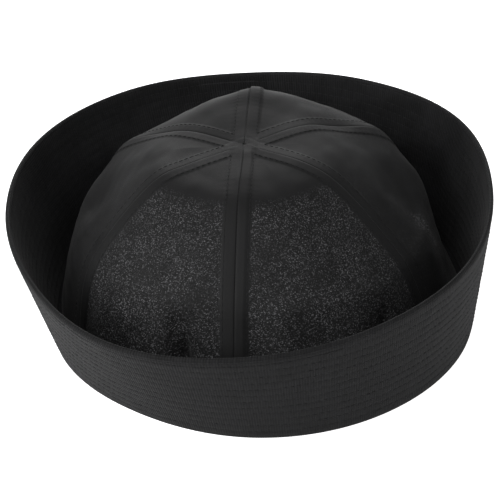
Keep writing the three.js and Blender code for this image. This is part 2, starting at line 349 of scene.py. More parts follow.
def through(a, b, c, d, t):
    """From b to c as t goes from 0 to 1, on a Catmull-Rom curve through all four."""
    return b + 0.5 * t * (c - a + t * (2 * a - 5 * b + 4 * c - d + t * (3 * (b - c) + d - a)))


def brim_share(column, degrees):
    """A smooth closed curve through one column of the brim's table."""
    place = (np.asarray(degrees) % 360) / 360 * len(BRIM_ROWS)
    row = np.floor(place).astype(int)
    values = (BRIM_ROWS[(row + k) % len(BRIM_ROWS), column] for k in (-1, 0, 1, 2))
    return through(*values, place - row)


def head_reach(degrees):
    return oval(HEAD_WIDTH / 2, HEAD_LENGTH / 2, degrees) * brim_share(0, degrees)


def unit(vectors):
    return vectors / np.linalg.norm(vectors, axis=-1)[..., None]


def smooth(value, low, high):
    t = np.clip((value - low) / (high - low), 0.0, 1.0)
    return t * t * (3 - 2 * t)


def ripples(points, size, seed, count=9):
    """Even, rounded noise, mostly between -1 and 1, at points in mm, as a sum of seeded waves."""
    random = np.random.default_rng(seed)
    total = np.zeros(points.shape[:-1])
    for _ in range(count):
        direction = unit(random.normal(size=3))
        frequency = 2 * math.pi / size * random.uniform(0.6, 1.4)
        total += np.sin(points @ direction * frequency + random.uniform(0, 2 * math.pi))
    return total / math.sqrt(count)


around = np.radians(np.arange(361))
opening = head_reach(np.arange(361))[:, None] * np.stack([np.cos(around), np.sin(around)], axis=1)
print("head opening", round(float(np.linalg.norm(np.diff(opening, axis=0), axis=1).sum())), "mm round")

# %% [markdown]
# ## Meshes from grids
# Brim and panels are skins that a formula gives on a grid of points. A plane with a displacement would
# lose the sharp edges of the cloth, so one helper turns a grid into a mesh at once. Its UV map is
# measured in millimetres of cloth, which lets the weave run with the cloth at its true size.


# %% Grid to mesh
# From the middle of the head opening to the frame's origin, under the middle of the rim's outline
SHIFT = np.array([3.367, 1.692, 0.0])


def grid_faces(rows, columns, closed=False):
    """Faces of a grid of points, counted row by row, and closed both ways or open."""
    last = 0 if closed else 1
    i, j = np.meshgrid(np.arange(rows - last), np.arange(columns - last), indexing="ij")
    next_i, next_j = (i + 1) % rows, (j + 1) % columns
    faces = [i * columns + j, next_i * columns + j, next_i * columns + next_j, i * columns + next_j]
    return np.stack(faces, axis=-1).reshape(-1, 4)


def mesh_piece(name, points, faces, uv, material, attributes=()):
    """points in mm from the head's middle, faces, and each face corner's place on the cloth in mm."""
    mesh = bpy.data.meshes.new(name)
    mesh.from_pydata(((points + SHIFT) * MM).tolist(), [], faces)
    layer = mesh.uv_layers.new(name="cloth")
    layer.data.foreach_set("uv", np.asarray(uv).ravel())
    for attribute_name, values in dict(attributes).items():
        attribute = mesh.attributes.new(attribute_name, "FLOAT", "POINT")
        attribute.data.foreach_set("value", values.ravel().astype(np.float32))
    mesh.materials.append(material)
    mesh.polygons.foreach_set("use_smooth", np.ones(len(mesh.polygons), dtype=bool))
    mesh.update()
    return add_object(name, mesh)


# %% [markdown]
# ## The crown's panels
# The crown is six gores of soft twill, sewn edge to edge. They could be draped with a cloth simulation,
# but then the folds would fall where they like. Here a profile of seven points bends from the apex over
# the shoulder down to the foot, and it changes smoothly from one seam to the next.


# %% Even skin of the crown
NAMES = list(SEAMS)


def seam_span(name):
    following = NAMES[(NAMES.index(name) + 1) % len(NAMES)]
    start, end = SEAMS[name][0], SEAMS[following][0]
    return following, start, end if end > start else end + 360


def crown_profile(name, across):
    """Azimuths, reach at the foot and the seven profile points for these shares across a panel."""
    following, start, end = seam_span(name)
    degrees = start + (end - start) * across
    foot = head_reach(degrees) + CROWN_INSET
    around = oval(HEAD_WIDTH / 2 + CROWN_INSET, HEAD_LENGTH / 2 + CROWN_INSET, degrees)
    shares = []
    for column in range(5):
        a, b, middle = SEAMS[name][column + 1], SEAMS[following][column + 1], PANELS[name][column]
        shares.append(a + (b - a) * across + (middle - (a + b) / 2) * 4 * across * (1 - across))
    crest, brow, shoulder, flank, hip = shares
    level = np.ones_like(around)
    reaches = [share * around for share in (0, CREST_AT, BROW_AT, SHOULDER_AT, flank)]
    reaches += [hip * (around + foot) / 2, foot]
    heights = [share * CROWN_HEIGHT * level for share in (crest, brow, shoulder, FLANK_AT, HIP_AT)]
    heights = [APEX_HEIGHT * level, *heights, CROWN_FOOT * level]
    return degrees, foot, np.stack(reaches), np.stack(heights)


def along_profile(knots, along):
    """A uniform Catmull-Rom curve through the knots, whose ends are repeated."""
    last = len(knots) - 1
    place = np.clip(along, 0, 1) * last
    first = np.minimum(np.floor(place).astype(int), last - 1)
    rows = [np.clip(first + step, 0, last)[None] for step in (-1, 0, 1, 2)]
    values = (np.take_along_axis(knots, row, axis=0)[0] for row in rows)
    return through(*values, place - first)


# %% Points, normals and the inside of the crown
def crown_skin(name, across, along):
    across, along = np.broadcast_arrays(np.asarray(across, float), np.asarray(along, float))
    degrees, foot, reaches, heights = crown_profile(name, across)
    reach, height = along_profile(reaches, along), along_profile(heights, along)
    lean = 1 - reach / foot
    angle = np.radians(degrees)
    x = reach * np.cos(angle) - APEX_LEFT * lean
    y = reach * np.sin(angle) + APEX_BACK * lean
    return np.stack([x, y, height], axis=-1)


def panel_width(name, along):
    """Width of a panel along the cloth, in mm, at these shares of its length."""
    spread = crown_skin(name, np.linspace(0, 1, 13)[None], along[:, None])
    return np.linalg.norm(np.diff(spread, axis=1), axis=2).sum(axis=1)


def crown_normal(name, across, along, step=0.004):
    across = np.clip(across, 2 * step, 1 - 2 * step)
    along = np.maximum(along, 12 * step)
    down = crown_skin(name, across, np.minimum(along + step, 1)) - crown_skin(name, across, along - step)
    around = crown_skin(name, across + step, along) - crown_skin(name, across - step, along)
    return unit(np.cross(down, around))


def crown_inside(degrees, height, last_span=5 / 6, halvings=14, nudge=0.01):
    """Reach of the crown's inside at a height near its foot, found by halving the profile's last span."""
    reaches = np.zeros_like(degrees)
    for name in SEAMS:
        _, start, end = seam_span(name)
        share = ((degrees - start) % 360) / (end - start)
        mine = share <= 1
        _, _, knots, heights = crown_profile(name, np.where(mine, share, 0.5))
        above, below = np.full(degrees.shape, last_span), np.ones(degrees.shape)
        for _ in range(halvings):
            middle = (above + below) / 2
            high = along_profile(heights, middle) > height
            above, below = np.where(high, middle, above), np.where(high, below, middle)
        slope = along_profile(heights, above) - along_profile(heights, above - nudge)
        run = along_profile(knots, above) - along_profile(knots, above - nudge)
        steep = np.abs(slope) / np.hypot(slope, run)
        reach = along_profile(knots, above) - (CROWN_CLOTH + SEAM_LAYER) / steep
        reaches = np.where(mine, reach, reaches)
    return reaches


# %% [markdown]
# ## The seams
# Each seam is pressed open and stitched down on both sides, which leaves a flat strip about 12 mm wide
# with the join in its middle. At the apex the strips lie over one another, the front one on top, and
# the cloth beside each row of stitches is drawn into tiny ribs. All of this is real relief in the mesh,
# by distance from the seams' lines, because a bump alone would leave the outline smooth.

# %% Seams and folds
STITCH_OFFSET = 5.0
# The seams at the back and the front have both their edges turned to one side, which lifts that half
# of the strip: at the panel's end or start, height, full width and end in mm, and rises down the seam
TURNED_EDGES = {
    "back right": (True, 0.8, 4.6, 7.0, [(0.25, 0.06, 0.12), (0.75, 0.16, 0.36)]),
    "front": (False, 0.3, 3.4, 4.8, [(1.0, 0.03, 0.06)]),
}
PUFF_STARTS, PUFF_ENDS = (0.42, 0.62), (0.88, 1.0)
PUFF, PUFF_REACH, DENT = 2.6, 16.0, 6.0
# Panel, place across and along it, half widths in the same shares, and depth as a share of DENT
DENTS = [
    ("front left", 0.74, 0.77, 0.06, 0.1, 1.0),
    ("front", 0.7, 0.77, 0.07, 0.07, 0.6),
    ("back left", 0.55, 0.5, 0.16, 0.12, 0.2),
    ("front right", 0.45, 0.5, 0.18, 0.1, 0.35),
]
# Creases by the dents and one shallow hollow, which the frame's solids leave out
CREASES = [
    ("front left", 0.675, 0.685, 0.026, 0.045, 0.35),
    ("front left", 0.725, 0.73, 0.032, 0.045, 0.5),
    ("front left", 0.46, 0.73, 0.05, 0.03, 0.25),
    ("front", 0.72, 0.72, 0.025, 0.035, 0.3),
    ("front", 0.1, 0.725, 0.03, 0.03, 0.15),
    ("front right", 0.5, 0.68, 0.22, 0.13, 0.65),
]
# How much glint is painted on each panel, as painted highlights
PAINTED_GLINT_SHARES = {"front left": 1.0, "front": 1.0, "front right": 0.15}
# Painted glint on the other panels
FAINT_PAINTED_GLINT = 0.1
# Between these distances from the apex the painted glints set in, in mm
PAINTED_GLINTS_SET_IN = (41.0, 50.0)
# One patch of painted glints, a painted highlight: its panel, place, half widths and strength
PAINTED_GLINT_PATCH = ("front right", 0.36, 0.66, 0.05, 0.12, 3.0)
# Where a strip ends and the ribs beside it fade, and how much each strip lifts the next at the apex
STRIP_EDGE = (STITCH_OFFSET + 0.9, STITCH_OFFSET + 1.3)
RIBS_FADE = (STITCH_OFFSET + 1.3, STITCH_OFFSET + 14.0)
LAP, LAP_ENDS = 0.12, (4.0, 14.0)
STRIP_SEED, FAR = 20, 99.0
LINE_POINTS, BLOCK = 420, 4000
STRIP_ORDER = ["back right", "back left", "front right", "front left", "back", "front"]
SEAM_LINES = {name: crown_skin(name, 0.0, np.linspace(0, 1, LINE_POINTS)) for name in SEAMS}


def seam_distance(points, line):
    """Distance from each point to a seam's line and how far down the line the nearest place is."""
    lengths = np.concatenate([[0], np.cumsum(np.linalg.norm(np.diff(line, axis=0), axis=1))])
    flat = points.reshape(-1, 3)
    nearest = np.concatenate([
        ((block[:, None] - line[None]) ** 2).sum(axis=2).argmin(axis=1)
        for block in np.array_split(flat, len(flat) // BLOCK + 1)
    ])
    ahead = np.minimum(nearest + 1, len(line) - 1)
    behind = np.maximum(nearest - 1, 0)
    direction = unit(line[ahead] - line[behind])
    offset = flat - line[nearest]
    slide = np.where(nearest == 0, 0, (offset * direction).sum(axis=1))
    gap = np.linalg.norm(offset - slide[:, None] * direction, axis=1)
    shape = points.shape[:-1]
    return gap.reshape(shape), (lengths[nearest] + slide).reshape(shape)


# %% Profile of a seam's strip
LAYER_HEIGHT, LAYER_ENDS = 0.3, (STITCH_OFFSET - 0.3, STITCH_OFFSET + 1.5)
# Lines along a strip, at the join and at the stitches: distance, half width and height in mm
STRIP_LINES = [(0.0, 0.45, -0.08), (1.5, 0.9, 0.03), (STITCH_OFFSET, 0.6, -0.07)]
RIB_RELIEF, RIB_EVERY, RIB_REACH = 0.03, 3.1, 2.6


def strip_profile(gap, down, seed):
    """Height of a seam's strip above the cloth beside it, by distance from the join."""
    random = np.random.default_rng(seed)
    wander = sum(0.25 * np.sin(down / (2.2 + k) + random.uniform(0, 6)) for k in range(3))
    profile = LAYER_HEIGHT * (1 - smooth(gap, *LAYER_ENDS))
    for middle, half_width, height in STRIP_LINES:
        profile = profile + height * np.exp(-((gap - middle) / half_width) ** 2)
    ribs = RIB_RELIEF * np.sin(down * 2 * math.pi / RIB_EVERY + wander * 2.5)
    beside = np.exp(-np.maximum(gap - STITCH_OFFSET, 0) / RIB_REACH) * smooth(gap, 0.6, STITCH_OFFSET)
    return profile + ribs * beside


# %% [markdown]
# ## Puff, dents and folds
# Between the seams the cloth stands out a little, and above the brim it has a few dents where it was
# pushed in. Each dent is a smooth bell shape with its own place, size and depth. A sculpting brush
# leaves the same shape, but this way a dent can be moved by one number.

# %% Relief of the crown
# Small waves in the open cloth: height and size in mm, and seed
CROWN_WAVES = [(0.26, 30.0, 11), (0.1, 9.0, 12)]
WAVES_START, WAVES_END = (0.0, 14.0), (0.93, 1.0)


def turned_edge(at_end, height, full, end, rises, across, along, width):
    """Relief in mm of the half of a strip under which both edges lie."""
    from_join = (1 - across if at_end else across) * width
    rise = sum(share * smooth(along, low, high) for share, low, high in rises)
    return height * smooth(from_join, 0.0, 0.5) * (1 - smooth(from_join, full, end)) * rise


def bell(across, along, place_across, place_along, wide, tall):
    """1 at a place on a panel, falling smoothly to 0 past its half widths."""
    return np.exp(-((across - place_across) / wide) ** 2 - ((along - place_along) / tall) ** 2)


def strips_relief(points):
    """Relief of all six strips in mm, and how far each point is from the nearest seam's line."""
    raised = np.zeros(points.shape[:-1])
    nearest = np.full(raised.shape, FAR)
    for order, seam in enumerate(STRIP_ORDER):
        gap, down = seam_distance(points, SEAM_LINES[seam])
        nearest = np.minimum(nearest, gap)
        over = 1 - smooth(gap, *STRIP_EDGE)
        profile = strip_profile(gap, down, STRIP_SEED + order)
        near_apex = 1 - smooth(np.linalg.norm(points - SEAM_LINES[seam][0], axis=-1), *LAP_ENDS)
        beside = (1 - over) * (1 - smooth(gap, *RIBS_FADE)) * profile * (1 - near_apex)
        raised = raised * (1 - over) + over * (profile + LAP * order * near_apex) + beside
    return raised, nearest


def crown_relief(name, across, along, width, points):
    """The body's relief, the strips' relief on top of it, and the distance from a seam, in mm."""
    from_seam = np.minimum(across, 1 - across) * width - SEAM_WIDTH / 2
    puffed = smooth(along, *PUFF_STARTS) * (1 - smooth(along, *PUFF_ENDS))
    body = PUFF * PANELS[name][5] * smooth(from_seam, 0.0, PUFF_REACH) * puffed
    for panel, place_across, place_along, wide, tall, depth in DENTS + CREASES:
        if panel == name:
            body = body - DENT * depth * bell(across, along, place_across, place_along, wide, tall)
    free = smooth(from_seam, *WAVES_START) * (1 - smooth(along, *WAVES_END))
    for height, size, seed in CROWN_WAVES:
        body = body + free * height * ripples(points, size, seed)
    raised, from_seam_line = strips_relief(points)
    if name in TURNED_EDGES:
        raised = raised + turned_edge(*TURNED_EDGES[name], across, along, width)
    return body, raised, from_seam_line


# %% [markdown]
# ## Panels as meshes
# Each panel is a closed piece of cloth with an outer and an inner skin. A Solidify modifier could add
# the thickness, but it would thicken the turned edges too little and the apex too much. The columns of
# the grid are closer at the seams, where the relief is finest.

# %% Grid of a panel
PANEL_ROWS, PANEL_COLUMNS, EDGE_COLUMNS, EDGE_REACH = 210, 78, 20, 9.0
# The inner skin uses another part of the weave, this many mm away
INSIDE_UV = 300
# Where the layers inside a strip end, how far the apex lies below the strips, and its reach
INSIDE_LAYER_ENDS = (6.0, 7.2)
APEX_SUNK, APEX_REACH = 0.3, 0.7


def panel_grid(name):
    """Shares across and along, and the width and length in mm, at each point of a panel's grid."""
    along = np.linspace(0, 1, PANEL_ROWS)[1:]
    width = panel_width(name, along)
    edge = np.minimum(EDGE_COLUMNS / PANEL_COLUMNS, EDGE_REACH / width)[:, None]
    column = np.arange(PANEL_COLUMNS + 1)[None] / PANEL_COLUMNS
    start = EDGE_COLUMNS / PANEL_COLUMNS
    across = np.where(column < start, column / start * edge, np.where(
        column > 1 - start, 1 - (1 - column) / start * edge,
        edge + (column - start) / (1 - 2 * start) * (1 - 2 * edge)))
    return across, along[:, None] * np.ones_like(across), width[:, None] * np.ones_like(across)


# %% Mesh of a panel
def shell_faces(rows, columns):
    """Faces between an outer grid, an inner one and their two tips, closed at the foot and both sides."""
    count = rows * columns
    faces = grid_faces(rows, columns).tolist()
    faces += [[v + count for v in reversed(face)] for face in faces]
    foot = [(rows - 1) * columns + j for j in range(columns)]
    faces += [[a, a + count, b + count, b] for a, b in zip(foot, foot[1:])]
    left = [i * columns for i in range(rows)]
    right = [i * columns + columns - 1 for i in range(rows)]
    faces += [[a + count, b + count, b, a] for a, b in zip(left, left[1:])]
    faces += [[a, b, b + count, a + count] for a, b in zip(right, right[1:])]
    top, under = 2 * count, 2 * count + 1
    faces += [[top, j, j + 1] for j in range(columns - 1)]
    faces += [[under, count + j + 1, count + j] for j in range(columns - 1)]
    return faces + [[top, under, count, 0], [under, top, columns - 1, count + columns - 1]]


def panel_mesh(name, piece_name):
    across, along, width = panel_grid(name)
    points = crown_skin(name, across, along)
    normal = crown_normal(name, across, along)
    normal[-1, :, 2] = 0
    normal = unit(normal)
    body, raised, from_seam_line = crown_relief(name, across, along, width, points)
    outer = points + normal * (body + raised)[..., None]
    layer = SEAM_LAYER * (1 - smooth(np.minimum(across, 1 - across) * width, *INSIDE_LAYER_ENDS))
    inner = points + normal * (body - CROWN_CLOTH - layer)[..., None]
    rows, columns = across.shape
    steps = np.linalg.norm(np.diff(points, axis=0), axis=2)
    down = np.concatenate([np.zeros((1, columns)), np.cumsum(steps, axis=0)]) + APEX_REACH
    cloth_place = np.stack([(across - 0.5) * width, down], axis=-1)

    tip = np.array([-APEX_LEFT, APEX_BACK, APEX_HEIGHT])
    tips = np.array([tip + (0, 0, SEAM_LAYER - APEX_SUNK), tip - (0, 0, CROWN_CLOTH + SEAM_LAYER)])
    all_points = np.concatenate([outer.reshape(-1, 3), inner.reshape(-1, 3), tips])
    outer_uv = cloth_place.reshape(-1, 2)
    all_uv = np.concatenate([outer_uv, outer_uv + INSIDE_UV, [[0, 0], [INSIDE_UV, INSIDE_UV]]])
    faces = shell_faces(rows, columns)
    corners = np.concatenate([np.array(face) for face in faces])
    from_apex = np.linalg.norm(points - tip, axis=-1)
    # Glint painted on each point of the panel, a painted highlight that the crown's cloth reads as an
    # attribute
    painted_glint_share = smooth(from_apex, *PAINTED_GLINTS_SET_IN) * PAINTED_GLINT_SHARES.get(name, FAINT_PAINTED_GLINT)
    if name == PAINTED_GLINT_PATCH[0]:
        painted_glint_share = painted_glint_share + PAINTED_GLINT_PATCH[5] * bell(across, along, *PAINTED_GLINT_PATCH[1:5])
    unseen = np.zeros(rows * columns + 2)
    attributes = {
        "from_seam": np.concatenate([from_seam_line.ravel(), unseen]),
        "painted_glint_share": np.concatenate([painted_glint_share.ravel(), unseen]),
    }
    piece = mesh_piece(piece_name, all_points, faces, all_uv[corners], crown_cloth, attributes)
    area = (np.diff(down, axis=0) * width[1:]).mean(axis=1).sum()
    return piece, width.max(), down.max(), area


# %% [markdown]
# ## The brim
# The brim is one thick cloth, turned up from a flat foot, stitched through in twelve close rows and
# bound with a narrow band at the rim. A curve with a bevel would carry one section round the head, but
# this section leans, flares and changes height as it goes. So it is worked out at 570 azimuths. Each
# stitched row is a shallow groove, and the cloth swells between the rows.

# %% Brim's wall
BRIM_STEPS = 570
ROWS, FIRST_ROW, ROW_PITCH = 12, 3.6, 4.08
GROOVE_DEPTH, GROOVE_WIDTH = 0.05, 0.6
SWELL, PUCKER, PUCKER_SIZE = 0.05, 0.06, 7.0
BAND_GROOVE, BAND_AT, BAND_WIDTH = 0.2, 1.7, 0.4
EDGE_ROUND, BELOW_BAND = 1.15, 4.2
RELIEF_STARTS = (0.0, 1.6)
FOLD_TURNS, RIM_TURNS = [0, 22, 45, 67], np.arange(0, 181, 22.5)
# Where the section has points: above the fold, round each row outside and inside, and below the rim
FOOT_PLACES = [0.3, 0.9, 1.7, 2.4]
OUTSIDE_PLACES = [-1.0, -0.5, 0.0, 0.5, 1.0, 2.04]
INSIDE_PLACES = [-0.9, -0.3, 0.3, 0.9, 2.04]
BAND_PLACES = [3.6, 2.5, 2.05, 1.7, 1.4, 1.15]
ABOVE_LAST_ROW = 1.1


def brim_frame(degrees):
    """The brim's fold, its direction up the wall, the way inwards and the wall's length."""
    angle = np.radians(degrees)
    out = np.stack([np.cos(angle), np.sin(angle), np.zeros_like(angle)], axis=-1)
    base = WALL_INSET + BRIM_CLOTH
    wall_out = head_reach(degrees) + base
    reach = oval(HEAD_WIDTH / 2 + base + FLARE_WIDTH, HEAD_LENGTH / 2 + base + FLARE_LENGTH, degrees)
    rim = out * (reach * brim_share(1, degrees))[..., None]
    rim[..., 0] -= RIM_LEFT
    rim[..., 2] = BRIM_HEIGHT + RIM_LIFT * brim_share(2, degrees)
    fold = out * wall_out[..., None]
    fold[..., 2] = FOLD
    wall = rim - fold
    length = np.linalg.norm(wall, axis=-1)
    along = wall / length[..., None]
    across = unit(wall * (1, 1, 0))
    turned = np.stack([-across[..., 1], across[..., 0], across[..., 2]], axis=-1)
    return out, fold, along, np.cross(along, turned), length


# %% Relief of the rows and the band
def row_relief(height, place, seed):
    """Relief of the stitched rows on the brim's wall in mm, with the cloth swelling between them."""
    row = (height - FIRST_ROW) / ROW_PITCH
    distance = (row - np.clip(np.round(row), 0, ROWS - 1)) * ROW_PITCH
    groove = -GROOVE_DEPTH * np.exp(-((distance / GROOVE_WIDTH) ** 2))
    between = np.clip(np.abs(distance) / (ROW_PITCH / 2), 0, 1)
    pucker = ripples(place * (1, 1, 0.25), PUCKER_SIZE, seed) * PUCKER
    return groove + (SWELL + pucker) * np.sin(between * math.pi / 2)


def band_relief(from_rim):
    """The groove along the lower edge of the band at the rim."""
    return -BAND_GROOVE * math.exp(-(((from_rim - BAND_AT) / BAND_WIDTH) ** 2))


# %% Brim's section
def brim_section(steps):
    """Points in mm on a grid of azimuths and places round the section, and their cloth places."""
    degrees = np.arange(steps) / steps * 360
    out, fold, along, inwards, length = brim_frame(degrees)
    head = head_reach(degrees)
    wall_out = head + WALL_INSET + BRIM_CLOTH
    last_row = FIRST_ROW + (ROWS - 1) * ROW_PITCH + ABOVE_LAST_ROW

    ones = np.ones(steps)

    def level(reach, height):
        place = out * (reach * ones)[:, None]
        place[:, 2] = height
        return place

    def wall(height, offset, outside):
        inward = -offset if outside else BRIM_CLOTH + offset
        return fold + along * (height * ones)[:, None] + inwards * (inward * ones)[:, None]

    def wall_side(offsets, outside, seed):
        rows = [FIRST_ROW + k * ROW_PITCH + step for k in range(ROWS) for step in offsets]
        heights = FOOT_PLACES + [height for height in rows if height < last_row]
        side = []
        for height in (np.minimum(each, length - BELOW_BAND) for each in heights):
            relief = row_relief(height, wall(height, 0.0, outside), seed)
            side.append(wall(height, relief * smooth(height, *RELIEF_STARTS), outside))
        for from_rim in BAND_PLACES:
            side.append(wall(length - from_rim, band_relief(from_rim), outside))
        return side

    top = crown_inside(degrees, ALLOWANCE_HEIGHT) - CLEARANCE
    section = [level(top - ALLOWANCE, ALLOWANCE_HEIGHT), level(head, FOOT), level(head + FOOT, 0.0)]
    section.append(level(wall_out - 3 * FOLD, 0.0))
    for turn in np.radians(FOLD_TURNS):
        section.append(level(wall_out - FOLD + FOLD * math.sin(turn), FOLD * (1 - math.cos(turn))))
    section += wall_side(OUTSIDE_PLACES, True, 3)
    middle = fold + along * (length - EDGE_ROUND)[:, None] + inwards * (BRIM_CLOTH / 2)
    for turn in np.radians(RIM_TURNS):
        swing = -inwards * math.cos(turn) + along * math.sin(turn)
        section.append(middle + swing * EDGE_ROUND)
    section += reversed(wall_side(INSIDE_PLACES, False, 4))
    section += [level(wall_out - BRIM_CLOTH, FOOT), level(head + ALLOWANCE, FOOT)]
    section.append(level(top, ALLOWANCE_HEIGHT))
    points = np.stack(section, axis=1)

    around = np.concatenate([[0], np.cumsum(np.linalg.norm(np.diff(fold, axis=0), axis=1))])
    from_fold = points - fold[:, None]
    sunk = np.maximum((from_fold * inwards[:, None]).sum(axis=2) - BRIM_CLOTH, 0.0)
    heights = (from_fold * along[:, None]).sum(axis=2) - sunk
    cloth_place = np.stack([around[:, None] * np.ones_like(heights), heights], axis=-1)
    return points, cloth_place, length, around[-1]


# %% [markdown]
# ## Making the cloths
# The grids now become meshes. The prints give the size that each cloth is cut to, measured flat, and
# the number of its triangles.

# %% Brim and panels
def brim_mesh():
    points, cloth_place, wall_length, round_length = brim_section(BRIM_STEPS)
    steps, count = points.shape[:2]
    faces = grid_faces(steps, count, closed=True)
    uv = cloth_place.reshape(-1, 2)[faces]
    last_strip = faces[:, 0] // count == steps - 1
    uv[last_strip, 1:3, 0] += round_length
    piece = mesh_piece("brim_cloth", points.reshape(-1, 3), faces.tolist(), uv, brim_cloth)
    print("brim", len(faces) * 2, "triangles, wall", wall_length.mean(), "mm, round", round_length, "mm")
    return piece, wall_length, round_length


brim, wall_length, round_length = brim_mesh()
crown_panels = {}
for number, name in enumerate(SEAMS, start=1):
    crown_panels[number] = panel_mesh(name, f"crown_cloth_{number}")
    piece, width, length, area = crown_panels[number]
    triangles = sum(len(face.vertices) - 2 for face in piece.data.polygons)
    print("panel", number, name, width, "by", length, "mm,", area, "square mm,", triangles, "triangles")

# %% [markdown]
# ## The stitches
# A stitch is a short thread that dips into the cloth at both ends. There are thousands, all alike, so
# they are made by Geometry Nodes: each line of stitches is a path of edges, which the tree turns into a
# curve, with a point at each stitch and one thread on each point, along the line and flat on the cloth.
# A painted dashed line would be quicker, but it would cast no shadow. The tree's inputs are the pitch,
# the thread's length and thickness, how much the length varies, and the material.

# %% Stitch tree
THREAD_SIDES, THREAD_RINGS, STITCH_SEED = 5, 4, 0


def stitch_tree():
    """Real threads along a path: edges with an attribute named up go in, and threads come out."""
    tree = bpy.data.node_groups.new("stitches", "GeometryNodeTree")
    sockets = [("Geometry", "INPUT", "Geometry")]
    sockets += [(name, "INPUT", "Float") for name in ("Pitch", "Length", "Thickness", "Wobble")]
    sockets += [("Thread", "INPUT", "Material"), ("Geometry", "OUTPUT", "Geometry")]
    for name, side, kind in sockets:
        tree.interface.new_socket(name, in_out=side, socket_type="NodeSocket" + kind)
    given = tree.nodes.new("NodeGroupInput").outputs
    path, pitch, length, thickness, wobble, material = (Shade(tree, socket) for socket in given[:6])
    add = path.node

    curve = add("GeometryNodeMeshToCurve", {0: path})
    evenly = add("GeometryNodeResampleCurve", {"Curve": curve, "Length": pitch}, mode="LENGTH")
    ball = {"Segments": THREAD_SIDES, "Rings": THREAD_RINGS, "Radius": 0.5}
    thread = add("GeometryNodeMeshUVSphere", ball)
    tangent = add("GeometryNodeInputTangent")
    up = add("GeometryNodeInputNamedAttribute", {"Name": "up"}, data_type="FLOAT_VECTOR")
    axes = {"Primary Axis": tangent, "Secondary Axis": up}
    turn = add("FunctionNodeAxesToRotation", axes, primary_axis="Z", secondary_axis="X")
    limits = {2: 1.0 - wobble, 3: wobble + 1.0, "Seed": STITCH_SEED}
    varied = add("FunctionNodeRandomValue", limits, output=1, data_type="FLOAT") * length
    size = add("ShaderNodeCombineXYZ", {0: thickness, 1: thickness, 2: varied})
    places = {"Points": evenly, "Instance": thread, "Rotation": turn, "Scale": size}
    threads = add("GeometryNodeInstanceOnPoints", places)
    threads = add("GeometryNodeRealizeInstances", {0: threads})
    threads = add("GeometryNodeSetShadeSmooth", {0: threads})
    threads = add("GeometryNodeSetMaterial", {"Geometry": threads, "Material": material})
    threads.fill(tree.nodes.new("NodeGroupOutput"), {0: threads})
    return tree


STITCHES = stitch_tree()
print("stitch tree", len(STITCHES.nodes), "nodes")

# %% [markdown]
# ## From a path to plain stitches
# A modifier's inputs are set by the identifier of their socket, before the object is first evaluated.
# The evaluated object is then copied into a plain mesh, because an exported model can't hold the tree.

# %% Stitches along lines
def stitch_piece(name, lines, pitch, length, thickness, material, wobble=0.12):
    """lines is a list of (points in mm, normals, closed)."""
    points, normals, edges = [], [], []
    for line, up, closed in lines:
        start = len(points)
        points += line.tolist()
        normals += up.tolist()
        edges += [(start + k, start + k + 1) for k in range(len(line) - 1)]
        if closed:
            edges.append((start + len(line) - 1, start))
    mesh = bpy.data.meshes.new(name + "_path")
    mesh.from_pydata(((np.array(points) + SHIFT) * MM).tolist(), edges, [])
    attribute = mesh.attributes.new("up", "FLOAT_VECTOR", "POINT")
    attribute.data.foreach_set("vector", np.array(normals).ravel())
    path = add_object(name + "_path", mesh)
    modifier = path.modifiers.new("stitches", "NODES")
    modifier.node_group = STITCHES
    values = {"Pitch": pitch * MM, "Length": length * MM, "Thickness": thickness * MM}
    values.update({"Wobble": wobble, "Thread": material})
    for item in STITCHES.interface.items_tree:
        if item.in_out == "INPUT" and item.name in values:
            modifier[item.identifier] = values[item.name]
    evaluated = path.evaluated_get(bpy.context.evaluated_depsgraph_get())
    made = bpy.data.meshes.new_from_object(evaluated)
    made.name = name
    bpy.data.objects.remove(path)
    piece = add_object(name, made)
    threads = len(made.vertices) // (2 + THREAD_SIDES * (THREAD_RINGS - 1))
    print(name, threads, "stitches", len(made.polygons), "faces")
    return piece


# %% [markdown]
# ## Thread
# The thread is black and a little shinier than the cloth. It is too thin for its twist to show as more
# than a faint change of tone, which a fine noise on object coordinates gives.

# %% Thread materials
THREAD_BLACK, DULL_BLACK = (0.018, 0.018, 0.019), (0.009, 0.009, 0.0095)
TWIST_SCALE = 900.0


def twisted_thread(start, colour, rough):
    place = start.node("ShaderNodeTexCoord", output=3)
    twist = noise(start, place, TWIST_SCALE).clamp(0.3, 0.7)
    shaded = [part * 0.6 for part in colour]
    return {"Base Color": mix(start, twist, shaded, colour), "Roughness": rough, "Specular IOR Level": 0.25}


thread = add_material("thread", twisted_thread, THREAD_BLACK, 0.5)
dull_thread = add_material("dull_thread", twisted_thread, DULL_BLACK, 0.6)

# %% [markdown]
# ## The seams' stitches
# Two rows run down each seam, 5 mm to each side of the join, and stop near the apex, where the strips
# meet. Their lines are worked out on the same skin and relief as the cloth, so they lie on it.

# %% Stitches of the seams
def crown_line(name, offset, along):
    """A line on the crown's outer skin beside a seam, offset in mm, with the skin's normals."""
    panel = name if offset > 0 else NAMES[NAMES.index(name) - 1]
    width = panel_width(panel, along)
    share = np.minimum(abs(offset) / width, 0.5)
    across = share if offset > 0 else 1 - share
    points = crown_skin(panel, across, along)
    normal = crown_normal(panel, across, along)
    body, raised, _ = crown_relief(panel, across, along, width, points)
    return points + normal * (body + raised)[:, None], normal, width


def seam_stitches():
    lines = []
    for name in SEAMS:
        for offset in (-STITCH_OFFSET, STITCH_OFFSET):
            along = np.linspace(0.0, 0.99, 400)[1:]
            points, normal, width = crown_line(name, offset, along)
            keep = width > 2.1 * STITCH_OFFSET
            lines.append((points[keep] + normal[keep] * CROWN_STITCH_LIFT, normal[keep], False))
    return lines


